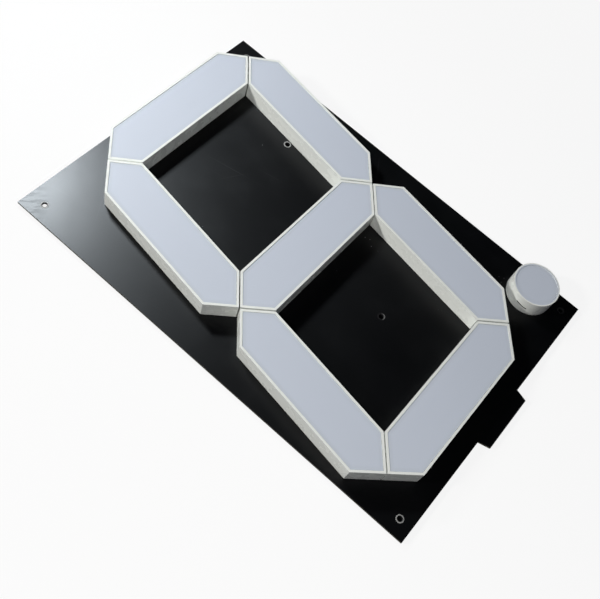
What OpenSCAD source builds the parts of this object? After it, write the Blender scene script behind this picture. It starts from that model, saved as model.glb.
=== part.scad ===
// Seven segment display: one large slanted digit with a decimal point.
// It lies on its back with its face up. X runs to the right of the digit,
// Y to its top and Z out of its face. The origin is under the middle of the
// outline, at the level of the screw heads that it rests on. Millimetres.

/* [Digit] */
// Distance between the centre lines of the left and the right segments
digit_pitch_x = 141.5; // [120:0.5:150]
// Distance between the centre lines of two level segments, one above the other
digit_pitch_y = 135; // [120:0.5:150]
// Width of a segment
segment_w = 34.4; // [28:0.2:36]
// Gap between the mitred ends of two segments
segment_gap = 0.9; // [0.4:0.1:3]
// Slant of the digit to the right, in degrees
slant = 8; // [0:0.5:12]
// Diameter of the decimal point
dot_d = 34; // [28:0.5:38]
// Decimal point's centre, to the right of the corner where segments c and d meet
dot_offset_x = 40.4; // [36:0.5:46]
// Decimal point's centre, above that corner
dot_offset_y = 2.1; // [-4:0.5:6]

/* [Housings] */
// Height of the housings above the board
housing_h = 13.7; // [12:0.1:20]
// Wall thickness of the housings
wall_t = 1.6; // [1.2:0.1:2.4]
// Width of the ledge that carries a diffuser
ledge_w = 2.2; // [1.4:0.1:3]
// Thickness of that ledge
ledge_t = 1.4; // [1:0.1:2]
// Outer diameter of a screw boss
boss_d = 6; // [5:0.1:7]
// Distance of a screw boss from the tip of its segment
boss_inset = 13; // [12:0.5:16]
// Distance of a screw boss from the centre of the decimal point
dot_boss_offset = 10; // [9:0.5:10.5]
// Height left free between a boss and the ledge
boss_top_gap = 1.1; // [0.5:0.1:2]
// Thickness of the ribs that tie a boss to its walls
rib_t = 1.2; // [0.8:0.1:1.6]
// Step down from the top of a boss to its ribs
rib_step = 2; // [1:0.5:4]

/* [Slot in the decimal point] */
// Length of the slot in the side wall
slot_l = 8.8; // [5:0.1:12]
// Height of the slot
slot_h = 0.9; // [0.5:0.1:1.6]
// Height of its middle above the board
slot_z = 6.2; // [5:0.1:8]
// Direction that it faces, counted from +X, in degrees
slot_angle = 183; // [165:1:200]
// Tilt of the slot, in degrees
slot_tilt = 11; // [0:1:15]

/* [Diffusers] */
// Thickness of a diffuser
diffuser_t = 2; // [1.5:0.1:3]
// Depth of a diffuser's face below the rim
diffuser_recess = 0.3; // [0.1:0.1:1]
// Clearance round a diffuser
diffuser_clearance = 0.15; // [0.05:0.05:0.4]

/* [Circuit board] */
// Thickness of the board
board_t = 1.6; // [1:0.1:2.4]
// Board left of the digit
margin_left = 6.2; // [3:0.1:20]
// Board right of the decimal point
margin_right = 0.1; // [0:0.1:20]
// Board above the digit
margin_top = 2.8; // [2:0.1:20]
// Board below the digit
margin_bottom = 14.8; // [8:0.1:30]
// Distance of the corner holes from the sides of the board
hole_inset_side = 10.7; // [8:0.1:12]
// Distance of the upper corner holes from the top of the board
hole_inset_top = 13; // [9:0.1:14]
// Distance of the lower corner holes from the bottom of the board
hole_inset_bottom = 9.3; // [6:0.1:11]
// Diameter of the mounting holes, inside their plating
hole_d = 3.2; // [2.6:0.1:4.4]
// Wall thickness of the plating in a mounting hole
plating_wall = 0.2; // [0.1:0.05:0.3]
// Thickness of the plated rings on the faces of the board
plating_t = 0.1; // [0.05:0.05:0.2]
// Width of a plated ring round its hole
ring_w = 1.1; // [0.6:0.1:1.6]
// Gap between segment b and the ring of the hole beside it
ring_gap = 0.6; // [0.3:0.1:4]

/* [Contact tongue] */
// Length of the tongue below the board
tongue_l = 8.5; // [8:0.5:14]
// Widening of the tongue towards the board, on each side
tongue_flare = 2.3; // [0:0.1:4]
// Tongue's centre line, to the right of the board's centre line
tongue_x = -0.3; // [-20:0.1:20]
// Bevel at the tongue's leading edge
tongue_bevel = 0.4; // [0.1:0.1:0.6]
// Number of contacts
contact_count = 10; // [4:1:12]
// Distance between contacts
contact_pitch = 3.96; // [3.5:0.02:5]
// Width of a contact
contact_w = 2.4; // [1.5:0.1:3]
// Length of a contact
contact_l = 7.5; // [4:0.5:12]
// Thickness of a contact
contact_t = 0.1; // [0.05:0.05:0.2]
// Bare board between the outer contacts and the tongue's sides
contact_margin = 3.2; // [1:0.1:4]
// Bare board between the contacts and the tongue's leading edge
contact_setback = 0.8; // [0.7:0.1:2]

/* [LEDs] */
// Side of an LED package
led_size = 5; // [4:0.1:5.5]
// Height of an LED package
led_h = 1.6; // [1:0.1:2.5]
// Diameter of its reflector cup at the top
led_cup_d = 4.2; // [3:0.1:4.4]
// Depth of the cup
led_cup_depth = 0.6; // [0.3:0.1:0.8]
// Distance between LEDs along a segment
led_pitch = 17; // [10:0.5:24]
// Distance between the two rows of LEDs
led_row_pitch = 12; // [8:0.5:14]
// Gap between the LEDs and the bosses
led_gap = 2; // [1:0.5:6]
// Number of LEDs in the decimal point
dot_led_count = 3; // [1:1:3]
// Distance between LEDs in the decimal point
dot_led_pitch = 8.5; // [8:0.5:9]
// Length of an LED's terminals outside its body
terminal_l = 0.4; // [0.2:0.1:0.8]
// Width of a terminal
terminal_w = 1; // [0.6:0.1:1.4]
// Thickness of a terminal
terminal_t = 0.25; // [0.15:0.05:0.5]

/* [Resistors] */
// Length of a resistor
resistor_l = 6.3; // [5:0.1:7]
// Width of a resistor
resistor_w = 3.2; // [2.5:0.1:3.5]
// Height of a resistor
resistor_h = 0.6; // [0.4:0.1:0.8]
// Length of the metal cap at each end of a resistor
cap_l = 0.6; // [0.4:0.1:1]
// Amount by which the caps stand out from the resistor's body
cap_step = 0.05; // [0.02:0.01:0.1]
// Distance between the resistors of one segment
resistor_pitch = 8; // [4.5:0.5:12]
// Resistors for one segment
resistors_per_segment = 3; // [1:1:4]

/* [Screws] */
// Diameter of a screw's head
screw_head_d = 4.6; // [4:0.1:5.4]
// Height of a screw's head
screw_head_h = 1.8; // [1.4:0.1:2.6]
// Rounding of a screw's head
screw_head_r = 0.9; // [0.5:0.1:1.2]
// Diameter of a screw's shank
screw_d = 2.1; // [1.8:0.1:2.6]
// Length of a screw under its head
screw_l = 8; // [6:0.5:10]
// Length of a screw's point
screw_tip_l = 1.2; // [0.6:0.1:2]
// Gap between a screw and its pilot hole
pilot_clearance = 0.05; // [0.02:0.01:0.1]
// Depth of the pilot hole beyond the screw's point
pilot_extra = 0.8; // [0.4:0.1:1.2]
// Gap between a screw and its hole in the board
screw_hole_clearance = 0.35; // [0.1:0.05:0.6]
// Length of the cross in a screw's head
cross_l = 2.6; // [1.8:0.1:3]
// Width of the cross
cross_w = 0.6; // [0.4:0.1:0.8]
// Depth of the cross
cross_depth = 1.1; // [0.6:0.1:1.2]

/* [Hidden] */
$fn = 64;
// Overrun of a cut past the face that it opens
over = 1;

// Places of the segments' centres, in pitches from the middle of the digit
A = [0, 1];
B = [0.5, 0.5];
C = [0.5, -0.5];
D = [0, -1];
E = [-0.5, -0.5];
F = [-0.5, 0.5];
G = [0, 0];
SEGMENTS = [A, B, C, D, E, F, G];

// Levels
back_z = screw_head_h;
front_z = back_z + board_t;
pocket_z = housing_h - diffuser_recess - diffuser_t;
cavity_h = pocket_z - ledge_t;
boss_h = cavity_h - boss_top_gap;
rib_h = boss_h - rib_step;
pilot_d = screw_d + 2 * pilot_clearance;
pilot_depth = screw_l - board_t + pilot_extra;

// Slants a point of the upright digit
function slanted(p) = [p.x + p.y * tan(slant), p.y];
// Turns a point by a quarter turn
function quarter(p) = [-p.y, p.x];
function unit(v) = v / norm(v);
// Moves every side of a convex outline, drawn anticlockwise, inwards
function inset(outline, distance) = [
    for (i = [0:len(outline) - 1])
        let (
            before = outline[(i + len(outline) - 1) % len(outline)],
            after = outline[(i + 1) % len(outline)],
            n1 = unit(quarter(outline[i] - before)),
            n2 = unit(quarter(after - outline[i]))
        )
        outline[i] + (n1 + n2) * distance / (1 + n1 * n2)
];

// The middle segments of each side stand upright and the other three lie level
function upright(segment) = segment.x != 0;
function centre(segment) = [segment.x * digit_pitch_x, segment.y * digit_pitch_y];
// Distance from a segment's centre to its tips
function reach(segment) =
    (upright(segment) ? digit_pitch_y : digit_pitch_x) / 2 - segment_gap / sqrt(2);
// A point given along and across a segment, slanted with the digit
function on_segment(segment, along, across) =
    slanted(centre(segment) + (upright(segment) ? [-across, along] : [along, across]));
// A bar with mitred ends: tip, shoulder, shoulder, tip, shoulder, shoulder
function segment_outline(segment) =
    let (r = reach(segment), w = segment_w / 2)
    [
        for (p = [[-r, 0], [w - r, -w], [r - w, -w], [r, 0], [r - w, w], [w - r, w]])
            on_segment(segment, p.x, p.y)
    ];
function segment_bosses(segment) = [
    for (end = [-1, 1]) on_segment(segment, end * (reach(segment) - boss_inset), 0)
];

// The decimal point
dot = slanted([digit_pitch_x / 2, -digit_pitch_y]) + [dot_offset_x, dot_offset_y];
dot_bosses = [for (side = [-1, 1]) dot + [0, side * dot_boss_offset]];

// Outline of the board, in the digit's own place
board_left = min([for (p = segment_outline(E)) p.x]) - margin_left;
board_right = max(
    max([for (p = segment_outline(B)) p.x]),
    dot.x + dot_d / 2
) + margin_right;
board_top = digit_pitch_y + segment_w / 2 + margin_top;
board_bottom = -digit_pitch_y - segment_w / 2 - margin_bottom;
tongue_w = (contact_count - 1) * contact_pitch + contact_w + 2 * contact_margin;
tongue_centre = (board_left + board_right) / 2 + tongue_x;
tongue_end = board_bottom - tongue_l;

// Mounting holes
ring_d = hole_d + 2 * ring_w;
corner_holes = [
    for (x = [board_left + hole_inset_side, board_right - hole_inset_side])
        for (y = [board_bottom + hole_inset_bottom, board_top - hole_inset_top]) [x, y]
];
lower_window_hole = [(board_left + board_right) / 2, -digit_pitch_y / 2];
upper_window_hole =
    on_segment(B, 0, segment_w / 2) - [ring_d / 2 + ring_gap, 0];
mounting_holes = concat(corner_holes, [lower_window_hole, upper_window_hole]);
screw_places = concat([for (s = SEGMENTS) each segment_bosses(s)], dot_bosses);

// Puts what is drawn round the middle of the digit into the part's frame
module in_frame(z) {
    translate([-(board_left + board_right) / 2, -(board_top + tongue_end) / 2, z]) children();
}

module at(p) {
    translate([p.x, p.y, 0]) children();
}

// Circuit board
module board_outline() {
    polygon([
        [board_left, board_bottom],
        [tongue_centre - tongue_w / 2 - tongue_flare, board_bottom],
        [tongue_centre - tongue_w / 2, tongue_end],
        [tongue_centre + tongue_w / 2, tongue_end],
        [tongue_centre + tongue_w / 2 + tongue_flare, board_bottom],
        [board_right, board_bottom],
        [board_right, board_top],
        [board_left, board_top]
    ]);
}

// Cutter that bevels both edges of the tongue's end
module tongue_bevel_cutter() {
    for (z = [0, board_t])
        translate([tongue_centre, tongue_end, z])
            rotate([45, 0, 0])
                cube([tongue_w + 2 * over, tongue_bevel * sqrt(2), tongue_bevel * sqrt(2)], center = true);
}

module circuit_board() {
    color("black")
        in_frame(back_z)
            difference() {
                linear_extrude(board_t) board_outline();
                for (p = mounting_holes)
                    at(p) translate([0, 0, -over])
                        cylinder(d = hole_d + 2 * plating_wall, h = board_t + 2 * over);
                for (p = screw_places)
                    at(p) translate([0, 0, -over])
                        cylinder(d = screw_d + 2 * screw_hole_clearance, h = board_t + 2 * over);
                tongue_bevel_cutter();
            }
}

// Plated mounting holes: a lining with a ring on each face of the board
module plated_hole() {
    difference() {
        union() {
            cylinder(d = hole_d + 2 * plating_wall, h = board_t);
            translate([0, 0, -plating_t]) cylinder(d = ring_d, h = plating_t);
            translate([0, 0, board_t]) cylinder(d = ring_d, h = plating_t);
        }
        translate([0, 0, -over]) cylinder(d = hole_d, h = board_t + 2 * over);
    }
}

module hole_plating() {
    color("silver")
        in_frame(back_z)
            for (p = mounting_holes) at(p) plated_hole();
}

// Contacts on the back of the tongue
module edge_contacts() {
    color("gold")
        in_frame(back_z)
            for (i = [0:contact_count - 1])
                translate([
                    tongue_centre + (i - (contact_count - 1) / 2) * contact_pitch - contact_w / 2,
                    tongue_end + contact_setback,
                    -contact_t
                ])
                    cube([contact_w, contact_l, contact_t]);
}

// Screw boss with its pilot hole open to the board
module boss() {
    cylinder(d = boss_d, h = boss_h);
}

module pilot_hole() {
    translate([0, 0, -over]) cylinder(d = pilot_d, h = pilot_depth + over);
}

module rib(from, to) {
    side = quarter(unit(to - from)) * rib_t / 2;
    linear_extrude(rib_h) polygon([from - side, to - side, to + side, from + side]);
}

// Segment housing: a mitred box, open to the board, with a ledge under its rim
module segment_shell(outline) {
    inner = inset(outline, wall_t);
    difference() {
        linear_extrude(housing_h) polygon(outline);
        translate([0, 0, -over]) linear_extrude(cavity_h + over) polygon(inner);
        translate([0, 0, -over])
            linear_extrude(housing_h + 2 * over) polygon(inset(outline, wall_t + ledge_w));
        translate([0, 0, pocket_z]) linear_extrude(housing_h) polygon(inner);
    }
}

module segment_housing(segment) {
    outline = segment_outline(segment);
    mid_wall = inset(outline, wall_t / 2);
    bosses = segment_bosses(segment);
    // Corners of each end: the tip and the two shoulders beside it
    ends = [[0, 1, 5], [3, 2, 4]];
    color("white")
        in_frame(front_z)
            difference() {
                union() {
                    segment_shell(outline);
                    for (i = [0, 1]) {
                        at(bosses[i]) boss();
                        for (corner = ends[i]) rib(bosses[i], mid_wall[corner]);
                    }
                }
                for (p = bosses) at(p) pilot_hole();
            }
}

module segment_diffuser(segment) {
    color([0.78, 0.8, 0.86])
        in_frame(front_z + pocket_z)
            linear_extrude(diffuser_t)
                polygon(inset(segment_outline(segment), wall_t + diffuser_clearance));
}

// LED package with a round cup and two terminals on each side
module led() {
    difference() {
        union() {
            translate([-led_size / 2, -led_size / 2, 0]) cube([led_size, led_size, led_h]);
            for (y = [-led_size / 4, led_size / 4])
                translate([-led_size / 2 - terminal_l, y - terminal_w / 2, 0])
                    cube([led_size + 2 * terminal_l, terminal_w, terminal_t]);
        }
        translate([0, 0, led_h - led_cup_depth])
            cylinder(d1 = led_cup_d - led_cup_depth, d2 = led_cup_d, h = led_cup_depth);
    }
}

module segment_leds(segment) {
    free = 2 * (reach(segment) - boss_inset - boss_d / 2 - led_gap) - led_size - 2 * terminal_l;
    columns = floor(free / led_pitch) + 1;
    color("ivory")
        in_frame(front_z)
            for (i = [0:columns - 1])
                for (row = [-1, 1])
                    at(on_segment(
                        segment,
                        (i - (columns - 1) / 2) * led_pitch,
                        row * led_row_pitch / 2
                    ))
                        led();
}

// Decimal point
module dot_housing() {
    inner_d = dot_d - 2 * wall_t;
    color("white")
        in_frame(front_z)
            difference() {
                union() {
                    at(dot) difference() {
                        cylinder(d = dot_d, h = housing_h);
                        translate([0, 0, -over]) cylinder(d = inner_d, h = cavity_h + over);
                        translate([0, 0, -over])
                            cylinder(d = inner_d - 2 * ledge_w, h = housing_h + 2 * over);
                        translate([0, 0, pocket_z]) cylinder(d = inner_d, h = housing_h);
                    }
                    for (p = dot_bosses) {
                        at(p) boss();
                        rib(p, dot + unit(p - dot) * (dot_d - wall_t) / 2);
                    }
                }
                for (p = dot_bosses) at(p) pilot_hole();
                at(dot) rotate(slot_angle) translate([dot_d / 2 - wall_t / 2, 0, slot_z])
                    rotate([-slot_tilt, 0, 0])
                        cube([3 * wall_t, slot_l, slot_h], center = true);
            }
}

module dot_diffuser() {
    color([0.78, 0.8, 0.86])
        in_frame(front_z + pocket_z)
            at(dot) cylinder(d = dot_d - 2 * wall_t - 2 * diffuser_clearance, h = diffuser_t);
}

module dot_leds() {
    color("ivory")
        in_frame(front_z)
            for (i = [0:dot_led_count - 1])
                at(dot + [(i - (dot_led_count - 1) / 2) * dot_led_pitch, 0]) led();
}

// Series resistor under the board, its length along X
module resistor() {
    translate([0, 0, -resistor_h / 2]) {
        translate([0, 0, cap_step / 2])
            cube([resistor_l, resistor_w - 2 * cap_step, resistor_h - cap_step], center = true);
        for (end = [-1, 1])
            translate([end * (resistor_l - cap_l) / 2, 0, 0])
                cube([cap_l, resistor_w, resistor_h], center = true);
    }
}

module series_resistors() {
    color("dimgray")
        in_frame(back_z) {
            for (s = SEGMENTS)
                for (i = [0:resistors_per_segment - 1])
                    at(on_segment(s, (i - (resistors_per_segment - 1) / 2) * resistor_pitch, 0))
                        rotate(upright(s) ? 0 : 90) resistor();
            at(dot) resistor();
        }
}

// Pan head screw, driven from the back, its shank up into a boss
module screw() {
    head_r = screw_head_d / 2;
    difference() {
        rotate_extrude()
            polygon(concat(
                [[0, -screw_head_h]],
                [
                    for (a = [-90:15:0])
                        [head_r, -screw_head_h] + screw_head_r * [cos(a) - 1, sin(a) + 1]
                ],
                [
                    [head_r, 0],
                    [screw_d / 2, 0],
                    [screw_d / 2, screw_l - screw_tip_l],
                    [0, screw_l]
                ]
            ));
        for (turn = [0, 90])
            rotate(turn)
                translate([-cross_l / 2, -cross_w / 2, -screw_head_h - over])
                    cube([cross_l, cross_w, cross_depth + over]);
    }
}

module housing_screws() {
    color("lightgray")
        in_frame(back_z)
            for (p = screw_places) at(p) screw();
}

// One module for each node that repeats
module segment_a_housing() { segment_housing(A); }
module segment_b_housing() { segment_housing(B); }
module segment_c_housing() { segment_housing(C); }
module segment_d_housing() { segment_housing(D); }
module segment_e_housing() { segment_housing(E); }
module segment_f_housing() { segment_housing(F); }
module segment_g_housing() { segment_housing(G); }

module segment_a_diffuser() { segment_diffuser(A); }
module segment_b_diffuser() { segment_diffuser(B); }
module segment_c_diffuser() { segment_diffuser(C); }
module segment_d_diffuser() { segment_diffuser(D); }
module segment_e_diffuser() { segment_diffuser(E); }
module segment_f_diffuser() { segment_diffuser(F); }
module segment_g_diffuser() { segment_diffuser(G); }

module segment_a_leds() { segment_leds(A); }
module segment_b_leds() { segment_leds(B); }
module segment_c_leds() { segment_leds(C); }
module segment_d_leds() { segment_leds(D); }
module segment_e_leds() { segment_leds(E); }
module segment_f_leds() { segment_leds(F); }
module segment_g_leds() { segment_leds(G); }

circuit_board();
hole_plating();
edge_contacts();
segment_a_housing();
segment_b_housing();
segment_c_housing();
segment_d_housing();
segment_e_housing();
segment_f_housing();
segment_g_housing();
dot_housing();
segment_a_diffuser();
segment_b_diffuser();
segment_c_diffuser();
segment_d_diffuser();
segment_e_diffuser();
segment_f_diffuser();
segment_g_diffuser();
dot_diffuser();
segment_a_leds();
segment_b_leds();
segment_c_leds();
segment_d_leds();
segment_e_leds();
segment_f_leds();
segment_g_leds();
dot_leds();
series_resistors();
housing_screws();
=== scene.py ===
"""Dresses the seven segment display: materials, studio, lamps and camera.

Metres, in the frame of the CAD part: X to the right of the digit, Y to its top,
Z out of its face, and the floor at Z = 0 under the screw heads.
"""

import math
from functools import reduce

import bpy
from mathutils import Matrix, Vector


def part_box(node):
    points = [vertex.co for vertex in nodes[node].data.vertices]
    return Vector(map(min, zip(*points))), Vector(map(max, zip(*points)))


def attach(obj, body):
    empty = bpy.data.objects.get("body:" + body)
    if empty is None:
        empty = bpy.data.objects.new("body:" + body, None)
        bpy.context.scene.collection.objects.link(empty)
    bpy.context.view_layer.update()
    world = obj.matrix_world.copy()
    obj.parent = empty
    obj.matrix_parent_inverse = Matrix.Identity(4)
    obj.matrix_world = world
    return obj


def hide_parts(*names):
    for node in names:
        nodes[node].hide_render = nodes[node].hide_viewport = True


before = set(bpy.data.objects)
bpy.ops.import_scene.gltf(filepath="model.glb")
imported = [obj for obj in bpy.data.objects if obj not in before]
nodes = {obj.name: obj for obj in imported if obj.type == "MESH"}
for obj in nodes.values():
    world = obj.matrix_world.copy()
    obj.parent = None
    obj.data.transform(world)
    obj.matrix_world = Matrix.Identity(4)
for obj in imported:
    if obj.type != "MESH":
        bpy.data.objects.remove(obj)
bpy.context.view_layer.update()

MM = 0.001
SEGMENTS = "abcdefg"

# The board, from the frame
board_low, board_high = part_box("circuit_board")
board_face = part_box("segment_a_housing")[0].z

# Camera: where it stands, seen from the spot that it looks at
view_spot = Vector((-26.9, -18.1, 3.4)) * MM
view_azimuth = math.radians(-72.62)
view_elevation = math.radians(60.13)
view_roll = math.radians(25.22)
view_distance = 553.9 * MM
view_lens = 50.43
view_shift = (-0.02, 0.0075)

# Moulded edges: how far they are rounded, and the least angle of an edge that is
edge_round = 0.22 * MM
edge_angle = math.radians(50)

# Colours of the part, as linear values
# The solder mask's own black, which also paints the painted shadow on the floor under the board
MASK_BLACK_AND_FLOOR_SHADOW = (0.0003, 0.0004, 0.0009, 1)
BOARD_EDGE = (0.030, 0.028, 0.016, 1)
DUST = (0.20, 0.20, 0.21, 1)
WARM_WHITE = (0.86, 0.88, 0.845, 1)
YELLOWED = (0.80, 0.79, 0.72, 1)
# A darker tone, blended in patches on the LED packages and near the board on the housings
DARK_TONE = (0.36, 0.35, 0.30, 1)
# Painted shade for the decimal point's hollow behind its slot
PAINTED_CAVITY_SHADE = (0.012, 0.012, 0.012, 1)
MILKY = (0.605, 0.65, 0.742, 1)
# Greyer milky: random flow in the diffusers, and painted shade along their sides
MILKY_FLOW_AND_BORDER_SHADE = (0.565, 0.61, 0.685, 1)
TIN = (0.80, 0.80, 0.78, 1)
TIN_DULL = (0.42, 0.42, 0.41, 1)
RING_GREY = (0.29, 0.29, 0.285, 1)
RING_WORN = (0.24, 0.24, 0.22, 1)
# Painted shade for the rings' bores, and painted shadow on some rings
PAINTED_RING_SHADE = (0.012, 0.012, 0.013, 1)
ZINC = (0.72, 0.73, 0.75, 1)
ZINC_DULL = (0.45, 0.44, 0.42, 1)
PACKAGE_WHITE = (0.80, 0.80, 0.77, 1)
LENS_RESIN = (0.50, 0.44, 0.26, 1)
CERAMIC = (0.02, 0.02, 0.022, 1)
CERAMIC_PALE = (0.06, 0.06, 0.06, 1)

# Colours of the studio
WHITE = (1, 1, 1, 1)
FLOOR_WHITE = (0.88, 0.88, 0.88, 1)
FLOOR_BOUNCE = (0.18, 0.18, 0.19, 1)
SKY_MIRRORED = (0.93, 0.97, 1.0, 1)
SKY_LIGHT = (0.85, 0.95, 1.35, 1)
KEY_WHITE = (1.0, 0.99, 0.95)
NEAR_WHITE = (0.96, 0.99, 1.0)
SHEEN_WHITE = (0.84, 0.93, 1.0)


class Graph:
    """The nodes of one material or world, with short ways to add and join them."""

    def __init__(self, owner):
        owner.use_nodes = True
        self.tree = owner.node_tree
        self.owner = owner

    def add(self, kind, inputs=(), **settings):
        """A node of that kind. inputs pairs a socket with a number, a colour or another socket."""
        node = self.tree.nodes.new("ShaderNode" + kind)
        for name, value in settings.items():
            setattr(node, name, value)
        for socket, value in dict(inputs).items():
            self.feed(node.inputs[socket], value)
        return node

    def feed(self, socket, value):
        if isinstance(value, bpy.types.NodeSocket):
            self.tree.links.new(value, socket)
        else:
            socket.default_value = value

    def math(self, operation, first, second=0.0):
        return self.add("Math", {0: first, 1: second}, operation=operation).outputs[0]

    def product(self, *values):
        return reduce(lambda a, b: self.math("MULTIPLY", a, b), values)

    def total(self, *values):
        return reduce(lambda a, b: self.math("ADD", a, b), values)

    def least(self, *values):
        return reduce(lambda a, b: self.math("MINIMUM", a, b), values)

    def greatest(self, *values):
        return reduce(lambda a, b: self.math("MAXIMUM", a, b), values)

    def place(self):
        """The point's place in the part's own frame, in metres."""
        return self.add("TexCoord").outputs["Object"]

    def height(self):
        return self.add("SeparateXYZ", {0: self.place()}).outputs[2]

    def upward(self):
        """1 on a face that looks up, 0 on a wall, -1 on a face that looks down."""
        normal = self.add("NewGeometry").outputs["Normal"]
        return self.add("SeparateXYZ", {0: normal}).outputs[2]

    def distance(self, spot):
        inputs = {0: self.place(), 1: spot}
        return self.add("VectorMath", inputs, operation="DISTANCE").outputs["Value"]

    def distance_in_plan(self, spot):
        """The distance from the upright line through spot."""
        flat = self.add("VectorMath", {0: self.place(), 1: (1, 1, 0)}, operation="MULTIPLY")
        inputs = {0: flat.outputs[0], 1: (spot.x, spot.y, 0)}
        return self.add("VectorMath", inputs, operation="DISTANCE").outputs["Value"]

    def stretched(self, scale, angle=0.0):
        """The place, turned about Z and then scaled apart along each axis."""
        turned = self.add("Mapping", {"Vector": self.place(), "Rotation": (0, 0, angle)})
        return self.add("Mapping", {"Vector": turned.outputs[0], "Scale": scale}).outputs[0]

    def noise(self, scale, detail, vector=None):
        """Noise whose cells are about 1 / scale metres wide."""
        inputs = {"Vector": vector or self.place(), "Scale": scale, "Detail": detail}
        return self.add("TexNoise", inputs).outputs["Fac"]

    def fade(self, value, start, end, low=0.0, high=1.0):
        """low up to start, high from end on, and a smooth change between them."""
        inputs = {0: value, 1: start, 2: end, 3: low, 4: high}
        return self.add("MapRange", inputs, interpolation_type="SMOOTHSTEP").outputs[0]

    def mix(self, share, first, second):
        """A number that goes from first to second as share goes from 0 to 1."""
        return self.add("Mix", {0: share, 2: first, 3: second}, data_type="FLOAT").outputs[0]

    def blend(self, share, first, second):
        """A colour that goes from first to second as share goes from 0 to 1."""
        node = self.add("Mix", data_type="RGBA")
        colours = [s for s in node.inputs if s.type == "RGBA"]
        self.feed(node.inputs[0], share)
        self.feed(colours[0], first)
        self.feed(colours[1], second)
        return [s for s in node.outputs if s.type == "RGBA"][0]

    def bump(self, height, depth, strength, under=None):
        """A normal that stands out by depth metres where height is 1, on top of under."""
        inputs = {"Height": height, "Distance": depth, "Strength": strength}
        if under:
            inputs["Normal"] = under
        return self.add("Bump", inputs).outputs[0]

    def shader(self, **sockets):
        """Sets the Principled shader's sockets, named with _ for a space."""
        principled = self.tree.nodes["Principled BSDF"]
        for name, value in sockets.items():
            self.feed(principled.inputs[name.replace("_", " ")], value)


def material(name):
    return Graph(bpy.data.materials.new(name))


def dress(names, graph):
    """Gives that material to the CAD nodes with these names."""
    for name in names:
        nodes[name].data.materials.clear()
        nodes[name].data.materials.append(graph.owner)


# Board

def wipe_marks(g):
    """Streaks that run out of the board's upper left corner."""
    corner = (board_low.x, board_high.y, board_face)
    streak = g.fade(g.noise(1, 3, g.stretched((70, 420, 60), 0.75)), 0.50, 0.60)
    return g.product(streak, g.fade(g.distance(corner), 8 * MM, 26 * MM, 1.0, 0.0))


def hair_scratches(g):
    """Hair scratches in three directions, in some patches of the board."""
    hairs = [
        g.fade(g.noise(1, 2, g.stretched((7, 950, 60), angle)), 0.70, 0.78)
        for angle in (0.5, 1.35, 2.6)
    ]
    return g.product(g.greatest(*hairs), g.fade(g.noise(16, 2), 0.5, 0.7))


def dust_specks(g):
    """Rare dust specks all over the board, and a few crumbs beside the decimal point."""
    cells = g.add("TexVoronoi", {"Vector": g.place(), "Scale": 260}).outputs
    speck = g.fade(cells["Distance"], 0.05, 0.12, 1.0, 0.0)
    rare = g.fade(g.noise(33, 1), 0.66, 0.70)
    inputs = {"Vector": g.place(), "Scale": 420}
    cells = g.add("TexVoronoi", inputs, voronoi_dimensions="2D").outputs
    crumb = g.fade(cells["Distance"], 0.10, 0.22, 1.0, 0.0)
    few = g.fade(g.add("SeparateColor", {0: cells["Color"]}).outputs[0], 0.66, 0.68)
    low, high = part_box("dot_housing")
    spot = (low.x + 8 * MM, high.y + 3 * MM, board_face)
    beside = g.fade(g.distance(spot), 5 * MM, 9 * MM, 1.0, 0.0)
    return g.greatest(g.product(speck, rare), g.product(few, crumb, beside, 0.5))


def solder_mask():
    """Black solder mask with a soft gloss, and the board's cut edge."""
    g = material("solder_mask")
    edge = g.fade(g.math("ABSOLUTE", g.upward()), 0.3, 0.6, 1.0, 0.0)
    smudge = g.fade(g.noise(9, 4), 0.42, 0.66)
    cloud = g.fade(g.noise(38, 5), 0.45, 0.75)
    scratch = hair_scratches(g)
    colour = g.blend(g.product(dust_specks(g), 0.8), MASK_BLACK_AND_FLOOR_SHADOW, DUST)
    colour = g.blend(g.product(scratch, 0.10), colour, DUST)
    colour = g.blend(edge, colour, BOARD_EDGE)
    clean = 0.375
    marks = (
        g.product(smudge, 0.04),
        g.product(wipe_marks(g), 0.05),
        g.product(cloud, 0.03),
        g.product(edge, 0.3),
    )
    peel = g.bump(g.noise(650, 4), 0.02 * MM, 0.6)
    g.shader(Base_Color=colour, Roughness=g.total(clean, *marks), Specular_IOR_Level=0.27)
    g.shader(Normal=g.bump(scratch, -0.01 * MM, 0.5, peel))
    return g


# Housings

def moulded_colour(g):
    """Warm white, yellowed in places, and darker in patches within 3 mm of the board."""
    low = g.fade(g.height(), board_face, board_face + 3 * MM, 1.0, 0.0)
    near_board_patches = g.product(low, g.fade(g.noise(90, 4), 0.35, 0.75))
    mottle = g.fade(g.noise(30, 3), 0.3, 0.7, 0.0, 0.10)
    colour = g.blend(mottle, WARM_WHITE, YELLOWED)
    return g.blend(g.product(near_board_patches, 0.35), colour, DARK_TONE)


def dot_colour(g):
    """The same for the decimal point, whose rim is milky in its inner half like the diffuser,
    and whose hollow behind the slot is painted dark as painted shade."""
    low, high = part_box("dot_housing")
    radius = (high.x - low.x) / 2
    depth = g.math("SUBTRACT", radius, g.distance_in_plan((low + high) / 2))
    rim = g.fade(g.height(), high.z - 0.1 * MM, high.z - 0.05 * MM)
    below_rim = g.fade(g.height(), high.z - 3.5 * MM, high.z - 3 * MM, 1.0, 0.0)
    inner_half = g.fade(depth, 0.80 * MM, 0.95 * MM)
    # Painted shade: the housing's hollow below the rim is coloured near black where the slot shows
    # it
    shaded_inside = g.fade(depth, 0.05 * MM, 0.12 * MM)
    colour = g.blend(g.product(inner_half, rim), moulded_colour(g), MILKY)
    return g.blend(g.product(shaded_inside, below_rim), colour, PAINTED_CAVITY_SHADE)


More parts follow.
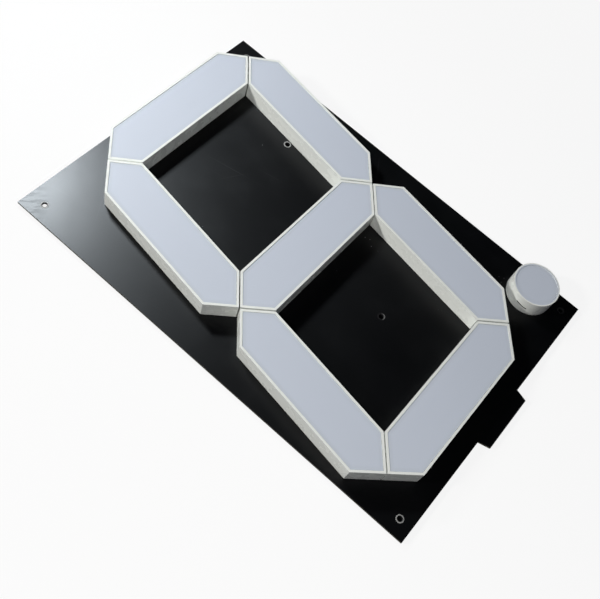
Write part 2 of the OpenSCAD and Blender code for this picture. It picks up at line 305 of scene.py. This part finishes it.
def moulded_plastic(name, colour_of):
    """White moulded plastic with a fine spark texture, duller on its rims than on its walls.

    colour_of takes the graph and returns the colour.
    """
    g = material(name)
    rough = g.fade(g.noise(120, 3), 0.3, 0.7, 0.24, 0.30)
    dull = g.fade(g.upward(), 0.5, 0.9, 0.0, 0.46)
    spark = g.bump(g.noise(2600, 2), 0.006 * MM, 0.7)
    g.shader(Base_Color=colour_of(g), Roughness=g.total(rough, dull), Normal=spark)
    return g


def soften_edges(node):
    """Rounds a moulding's sharp edges, which the CAD keeps square."""
    piece = nodes[node]
    piece.modifiers.new("weld", "WELD").merge_threshold = 0.002 * MM
    bevel = piece.modifiers.new("bevel", "BEVEL")
    bevel.width = edge_round
    bevel.segments = 2
    bevel.limit_method = "ANGLE"
    bevel.angle_limit = edge_angle


# Diffusers

def top_outline(node):
    """The sides of a convex node's flat top, each as (inward normal, offset) in plan."""
    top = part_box(node)[1].z
    corners = [v.co for v in nodes[node].data.vertices if v.co.z > top - 0.1 * MM]
    spots = {(round(corner.x, 6), round(corner.y, 6)) for corner in corners}
    middle = sum((Vector(s) for s in spots), Vector((0, 0))) / len(spots)
    ring = sorted(spots, key=lambda s: math.atan2(s[1] - middle.y, s[0] - middle.x))
    sides = []
    for start, end in zip(ring, ring[1:] + ring[:1]):
        along = (Vector(end) - Vector(start)).normalized()
        normal = Vector((-along.y, along.x))
        sides.append((normal, -normal.dot(Vector(start))))
    return sides


def polygon_border(node):
    """The distance to the nearest side of a straight-sided diffuser, as a material works it out."""
    sides = top_outline(node)

    def border(g):
        reach = []
        for normal, offset in sides:
            inputs = {0: g.place(), 1: (normal.x, normal.y, 0)}
            along = g.add("VectorMath", inputs, operation="DOT_PRODUCT").outputs["Value"]
            reach.append(g.total(along, offset))
        return g.least(*reach)

    return border


def round_border(node):
    """The same for a round diffuser."""
    low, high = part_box(node)

    def border(g):
        return g.math("SUBTRACT", (high.x - low.x) / 2, g.distance_in_plan((low + high) / 2))

    return border


def diffuser_material(name, border):
    """Milky diffuser, greyer along its sides as painted shade, where it lies on the housing's
    ledge.

    border takes the graph and returns the distance to the diffuser's side.
    """
    g = material(name)
    waver = g.fade(g.noise(240, 2), 0.2, 0.8, -0.15 * MM, 0.15 * MM)
    # Painted shade: greyer within about 3 mm of the diffuser's sides
    border_shade = g.fade(g.total(border(g), waver), 0.8 * MM, 3.2 * MM, 1.0, 0.0)
    flow = g.fade(g.noise(14, 3), 0.3, 0.7, 0.0, 0.16)
    colour = g.blend(flow, MILKY, MILKY_FLOW_AND_BORDER_SHADE)
    colour = g.blend(g.product(border_shade, 0.7), colour, MILKY_FLOW_AND_BORDER_SHADE)
    rough = g.fade(g.noise(60, 3), 0.3, 0.7, 0.56, 0.64)
    grain = g.bump(g.noise(3200, 1), 0.003 * MM, 0.5)
    g.shader(Base_Color=colour, Roughness=rough, Specular_IOR_Level=0.2, Normal=grain)
    return g


# Metal and electronics

def worn_metal(name, bright, dull, scale, rough):
    """Bare metal that is bright where it is smooth and dull in patches."""
    g = material(name)
    patch = g.fade(g.noise(scale, 4), 0.4, 0.7)
    grain = g.bump(g.noise(scale * 6, 2), 0.01 * MM, 0.5)
    g.shader(Base_Color=g.blend(patch, bright, dull), Metallic=1.0)
    g.shader(Roughness=g.fade(patch, 0.0, 1.0, rough, rough + 0.18), Normal=grain)
    return g


def led_package():
    """White package with a clear yellowish resin in its cup."""
    g = material("led_package")
    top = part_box("segment_a_leds")[1].z
    sunk = g.fade(g.height(), top - 0.7 * MM, top - 0.4 * MM, 1.0, 0.0)
    cup = g.product(sunk, g.fade(g.upward(), 0.8, 0.9))
    colour = g.blend(g.fade(g.noise(300, 2), 0.3, 0.7, 0.0, 0.15), PACKAGE_WHITE, DARK_TONE)
    colour = g.blend(cup, colour, LENS_RESIN)
    g.shader(Base_Color=colour, Roughness=g.fade(cup, 0.0, 1.0, 0.45, 0.12))
    return g


def resistor_ceramic():
    """Dark glazed resistor with tinned caps, told apart by the caps' small step."""
    g = material("resistor_ceramic")
    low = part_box("series_resistors")[0].z
    cap = g.fade(g.height(), low + 0.01 * MM, low + 0.02 * MM, 1.0, 0.0)
    colour = g.blend(g.fade(g.noise(900, 3), 0.35, 0.7, 0.0, 0.5), CERAMIC, CERAMIC_PALE)
    g.shader(Base_Color=g.blend(cap, colour, TIN), Metallic=cap, Roughness=0.35)
    g.shader(Normal=g.bump(g.noise(1500, 2), 0.01 * MM, 0.5))
    return g


# Rings of the mounting holes

def hole_centres():
    """Where the mounting holes are, from the vertices of their plating."""
    groups = []
    for vertex in nodes["hole_plating"].data.vertices:
        spot = vertex.co.xy
        near = [group for group in groups if (group[0] - spot).length < 8 * MM]
        if near:
            near[0].append(spot)
        else:
            groups.append([spot])
    return [
        Vector([(min(v[i] for v in group) + max(v[i] for v in group)) / 2 for i in (0, 1)])
        for group in groups
    ]


def ring_profile():
    """(radius, height, share of lit tin) round a plated hole: its bore, a rolled rim on each face,
    and the side that lies in the board. The share is 1 where the ring shows its tin, and 0 in the
    bore, where painted shade goes."""
    low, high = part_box("hole_plating")
    front = [
        (1.60, -0.45, 0.0), (1.62, -0.28, 0.0), (1.72, -0.14, 0.0), (1.88, -0.05, 0.1),
        (2.04, -0.01, 0.8), (2.20, 0.0, 1.0), (2.45, -0.005, 1.0), (2.62, -0.03, 1.0),
        (2.70, -0.09, 1.0), (2.70, -0.12, 0.6), (1.80, -0.12, 0.0),
    ]
    front = [(r * MM, high.z + z * MM, lit_share) for r, z, lit_share in front]
    back = [(r, low.z + high.z - z, lit_share) for r, z, lit_share in reversed(front)]
    return front + back


def painted_ring_light(centre, turn):
    """How much of a ring shows its lit tin at that turn. The ring at the lower right corner is
    painted dark all round as the decimal point's painted shadow, and the one in the lower window is
    dark but for a faint painted highlight crescent."""
    corner = abs(centre.x) > 50 * MM
    if centre.y > 0 or (corner and centre.x < 0):
        return 1.0
    # Painted shadow of the decimal point on the lower right ring; a painted highlight crescent on
    # the ring in the lower window
    return 0.0 if corner else 0.5 * max(0.0, math.cos(turn + 0.8))


def tin_ring_painted_shade():
    """Dull tin, and near black as painted shade where it turns down into the bore and on the rings
    in painted shadow.
    """
    g = material("tin_ring_painted_shade")
    lit_share = g.add("Attribute", attribute_name="lit_share").outputs["Fac"]
    patch = g.fade(g.noise(900, 3), 0.35, 0.7, 0.0, 0.5)
    colour = g.blend(patch, RING_GREY, RING_WORN)
    # Painted shade: near black where the share of lit tin is low
    g.shader(Base_Color=g.blend(lit_share, PAINTED_RING_SHADE, colour))
    g.shader(Roughness=g.fade(lit_share, 0.0, 1.0, 0.8, 0.55))
    g.shader(Specular_IOR_Level=g.fade(lit_share, 0.0, 1.0, 0.05, 0.5))
    g.shader(Normal=g.bump(g.noise(1800, 2), 0.01 * MM, 0.5))
    return g


def add_rings():
    """Fine plated rings in place of the faceted ones."""
    steps = 56
    profile = ring_profile()
    rows = len(profile)
    points, lit_shares, faces = [], [], []
    for centre in hole_centres():
        first = len(points)
        for i in range(steps):
            turn = math.tau * i / steps
            for radius, height, lit_share in profile:
                x = centre.x + radius * math.cos(turn)
                y = centre.y + radius * math.sin(turn)
                points.append((x, y, height))
                lit_shares.append(lit_share * painted_ring_light(centre, turn))
        for i in range(steps):
            here = first + i * rows
            there = first + (i + 1) % steps * rows
            for j in range(rows):
                k = (j + 1) % rows
                faces.append((here + j, there + j, there + k, here + k))
    mesh = bpy.data.meshes.new("hole_rings")
    mesh.from_pydata(points, [], faces)
    mesh.attributes.new("lit_share", "FLOAT", "POINT").data.foreach_set("value", lit_shares)
    mesh.shade_smooth()
    mesh.materials.append(tin_ring_painted_shade().owner)
    rings = bpy.data.objects.new("hole_rings", mesh)
    bpy.context.scene.collection.objects.link(rings)
    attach(rings, "root")
    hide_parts("hole_plating")


# Studio

def area_lamp(name, place, size, power, colour):
    """A square lamp that faces the middle of the board."""
    data = bpy.data.lights.new(name, "AREA")
    data.shape = "SQUARE"
    data.size = size
    data.energy = power
    data.color = colour
    lamp = bpy.data.objects.new(name, data)
    lamp.location = place
    lamp.rotation_euler = (-Vector(place)).to_track_quat("-Z", "Y").to_euler()
    bpy.context.scene.collection.objects.link(lamp)
    return lamp


def add_lamps():
    """A far key, a fill, and a small near lamp above the digit's top. The sheen lamp stands
    with the near one and lights the gloss alone."""
    near_place = (0.035, 0.365, 0.305)
    near_size = 0.06
    area_lamp("key", (-1.83, 1.83, 1.52), 0.30, 47, KEY_WHITE)
    area_lamp("fill", (-0.47, -0.09, 0.64), 0.12, 2.1, KEY_WHITE)
    area_lamp("near", near_place, near_size, 0.76, NEAR_WHITE)
    sheen = area_lamp("sheen", near_place, near_size, 3.4, SHEEN_WHITE)
    sheen.visible_diffuse = False


def free_of_painted_shadow(g):
    """1 on the open floor, and 0 under the board, where the floor takes a painted shadow, but for
    the spot behind its corner hole.
    """
    side = [v.co.y for v in nodes["circuit_board"].data.vertices if v.co.x < board_low.x + MM]
    middle = ((board_low.x + board_high.x) / 2, (min(side) + max(side)) / 2, 0)
    half_width = (board_high.x - board_low.x) / 2
    half_height = (max(side) - min(side)) / 2
    away = g.add("VectorMath", {0: g.place(), 1: middle}, operation="SUBTRACT").outputs[0]
    away = g.add("VectorMath", {0: away}, operation="ABSOLUTE").outputs[0]
    across, along, _ = g.add("SeparateXYZ", {0: away}).outputs
    past_side = g.math("SUBTRACT", across, half_width)
    past_end = g.math("SUBTRACT", along, half_height)
    corner_hole = min(hole_centres(), key=lambda spot: spot.x - spot.y)
    open_floor = g.fade(g.greatest(past_side, past_end), -3 * MM, -1 * MM)
    hole_spot = g.fade(g.distance((*corner_hole, 0)), 4 * MM, 5 * MM, 1.0, 0.0)
    return g.greatest(open_floor, hole_spot)


def floor_material():
    """White floor: it keeps most of the part's shadow, never reads darker than pale grey on the
    open floor, and turns plain white far from the part. Under the board it is painted black as a
    painted shadow."""
    g = material("floor")
    rays = g.add("LightPath").outputs
    seen = g.greatest(rays["Is Camera Ray"], rays["Is Glossy Ray"], rays["Is Transmission Ray"])
    free_floor = free_of_painted_shadow(g)
    # Painted shadow: under the board the floor is coloured solder mask black
    matte = g.blend(free_floor, MASK_BLACK_AND_FLOOR_SHADOW, g.blend(seen, FLOOR_BOUNCE, FLOOR_WHITE))
    matte = g.add("BsdfDiffuse", {"Color": matte})
    white = g.add("Emission", {"Color": WHITE, "Strength": 1.0})
    whiteness = g.fade(g.distance((0, 0, 0)), 0.2, 1.0, 0.86, 1.0)
    share = g.product(seen, whiteness, free_floor)
    mixed = g.add("MixShader", {0: share, 1: matte.outputs[0], 2: white.outputs[0]})
    g.feed(g.tree.nodes["Material Output"].inputs["Surface"], mixed.outputs[0])
    return g


def add_floor():
    mesh = bpy.data.meshes.new("studio_floor")
    reach = 9.0
    corners = [(x * reach, y * reach, 0) for x, y in ((-1, -1), (1, -1), (1, 1), (-1, 1))]
    mesh.from_pydata(corners, [], [(0, 1, 2, 3)])
    mesh.materials.append(floor_material().owner)
    floor = bpy.data.objects.new("studio_floor", mesh)
    bpy.context.scene.collection.objects.link(floor)


def add_world():
    """White where it is seen, a white horizon under a dim ceiling where it is mirrored, and a
    plain level for what it lights."""
    world = bpy.data.worlds.new("studio")
    bpy.context.scene.world = world
    g = Graph(world)
    rays = g.add("LightPath").outputs
    seen = g.greatest(rays["Is Camera Ray"], rays["Is Transmission Ray"])
    mirrored = rays["Is Glossy Ray"]
    height = g.add("SeparateXYZ", {0: g.add("TexCoord").outputs["Generated"]}).outputs[2]
    horizon = g.fade(height, 0.05, 0.22, 0.93, 0.006)
    strength = g.mix(seen, g.mix(mirrored, 0.045, horizon), 1.0)
    colour = g.blend(seen, g.blend(mirrored, SKY_LIGHT, SKY_MIRRORED), WHITE)
    background = g.tree.nodes["Background"]
    g.feed(background.inputs["Color"], colour)
    g.feed(background.inputs["Strength"], strength)


def add_camera():
    back = Vector((
        math.sin(view_azimuth) * math.cos(view_elevation),
        -math.cos(view_azimuth) * math.cos(view_elevation),
        math.sin(view_elevation),
    ))
    data = bpy.data.cameras.new("camera")
    data.sensor_width = 36
    data.lens = view_lens
    data.shift_x, data.shift_y = view_shift
    camera = bpy.data.objects.new("camera", data)
    turn = (-back).to_track_quat("-Z", "Y").to_matrix() @ Matrix.Rotation(view_roll, 3, "Z")
    camera.matrix_world = Matrix.Translation(view_spot + back * view_distance) @ turn.to_4x4()
    bpy.context.scene.collection.objects.link(camera)
    bpy.context.scene.camera = camera


housings = [f"segment_{s}_housing" for s in SEGMENTS]
for housing in housings:
    soften_edges(housing)

dress(["circuit_board"], solder_mask())
dress(housings, moulded_plastic("moulded_white", moulded_colour))
dress(["dot_housing"], moulded_plastic("moulded_white_dot", dot_colour))
for s in SEGMENTS:
    diffuser = f"segment_{s}_diffuser"
    dress([diffuser], diffuser_material(f"milky_{s}", polygon_border(diffuser)))
dress(["dot_diffuser"], diffuser_material("milky_dot", round_border("dot_diffuser")))
dress(["edge_contacts"], worn_metal("tinned_contacts", TIN, TIN_DULL, 300, 0.28))
dress(["housing_screws"], worn_metal("zinc_screws", ZINC, ZINC_DULL, 500, 0.30))
dress([f"segment_{s}_leds" for s in SEGMENTS] + ["dot_leds"], led_package())
dress(["series_resistors"], resistor_ceramic())

add_rings()
add_floor()
add_world()
add_lamps()
add_camera()

bpy.context.scene.view_settings.view_transform = "Standard"
